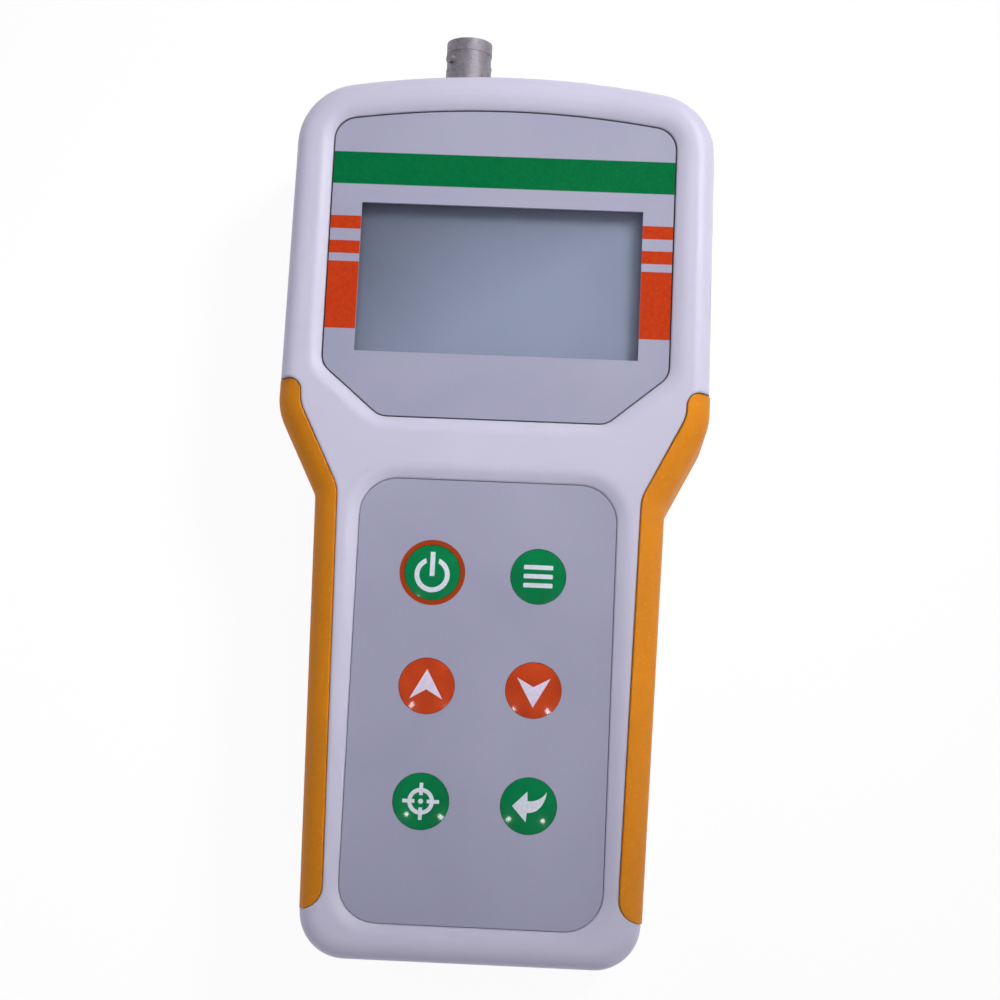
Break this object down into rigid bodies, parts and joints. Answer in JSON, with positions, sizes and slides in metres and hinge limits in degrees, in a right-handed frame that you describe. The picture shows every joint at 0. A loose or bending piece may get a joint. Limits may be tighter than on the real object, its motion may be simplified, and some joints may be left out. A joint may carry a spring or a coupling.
{
  "type": "portable conductivity meter",
  "caption": "Hand-held conductivity meter with a display, round keys, rubber side grips, a bayonet sensor socket and a sliding battery door.",
  "frame": {"origin": "centre of the flat rear face, at half the housing's length", "axes": "+X across the meter to the right as seen from the front, +Y along it towards the sensor sockets, +Z out of the front face"},
  "size_m": [0.0874, 0.192, 0.0352],
  "materials": {
    "housing": "satin lavender white",
    "grip": "matt amber",
    "panel": "printed satin grey",
    "window": "clear",
    "lcd": "grey green cell",
    "foam": "black foam",
    "frame_plastic": "black",
    "light_guide": "milky",
    "silicone": "grey",
    "key_green": "gloss green",
    "key_orange": "gloss orange red",
    "switch_plastic": "black",
    "board": "green solder mask",
    "chip": "black",
    "can": "satin",
    "nickel": "dull nickel plate",
    "contact_brass": "gold flash",
    "insulator": "white",
    "jack_plastic": "black",
    "cell": "plain dark sleeve",
    "spring_steel": "nickel plated",
    "screw_steel": "zinc plated",
    "lead_sleeve": "red"
  },
  "bodies": {
    "housing": {"front_shell": "housing", "rear_shell": "housing", "shell_gasket": "silicone", "grip_left": "grip", "grip_right": "grip", "display_panel": "panel", "display_window": "window", "display_foam": "foam", "display_glass": "lcd", "display_frame": "frame_plastic", "display_backlight": "light_guide", "display_contact_strips": "silicone", "keypad_plate": "panel", "switch_bodies": "switch_plastic", "main_board": "board", "processor_chip": "chip", "converter_chip": "chip", "board_capacitors": "can", "board_screws": "screw_steel", "case_screws": "screw_steel", "socket_body": "nickel", "socket_insulator": "insulator", "socket_contact": "contact_brass", "socket_washer": "nickel", "socket_nut": "nickel", "temperature_jack": "jack_plastic", "temperature_jack_nut": "nickel", "sensor_leads": "lead_sleeve", "battery_cells": "cell", "contact_plates": "spring_steel", "contact_leaves": "spring_steel", "battery_leads": "lead_sleeve"},
    "power_key": {"key_power": "key_green", "switch_plunger_power": "switch_plastic"},
    "menu_key": {"key_menu": "key_green", "switch_plunger_menu": "switch_plastic"},
    "up_key": {"key_up": "key_orange", "switch_plunger_up": "switch_plastic"},
    "down_key": {"key_down": "key_orange", "switch_plunger_down": "switch_plastic"},
    "calibrate_key": {"key_calibrate": "key_green", "switch_plunger_calibrate": "switch_plastic"},
    "enter_key": {"key_enter": "key_green", "switch_plunger_enter": "switch_plastic"},
    "door": {"battery_door": "housing"}
  },
  "joints": [
    {"name": "power_key_press", "type": "slide", "parent": "housing", "child": "power_key", "axis": [0, 0, -1], "range_m": [0, 0.0005], "stiffness_N_per_m": 2000},
    {"name": "menu_key_press", "type": "slide", "parent": "housing", "child": "menu_key", "axis": [0, 0, -1], "range_m": [0, 0.0005], "stiffness_N_per_m": 2000},
    {"name": "up_key_press", "type": "slide", "parent": "housing", "child": "up_key", "axis": [0, 0, -1], "range_m": [0, 0.0005], "stiffness_N_per_m": 2000},
    {"name": "down_key_press", "type": "slide", "parent": "housing", "child": "down_key", "axis": [0, 0, -1], "range_m": [0, 0.0005], "stiffness_N_per_m": 2000},
    {"name": "calibrate_key_press", "type": "slide", "parent": "housing", "child": "calibrate_key", "axis": [0, 0, -1], "range_m": [0, 0.0005], "stiffness_N_per_m": 2000},
    {"name": "enter_key_press", "type": "slide", "parent": "housing", "child": "enter_key", "axis": [0, 0, -1], "range_m": [0, 0.0005], "stiffness_N_per_m": 2000},
    {"name": "battery_door_slide", "type": "slide", "parent": "housing", "child": "door", "axis": [0, -1, 0], "range_m": [0, 0.06]}
  ]
}
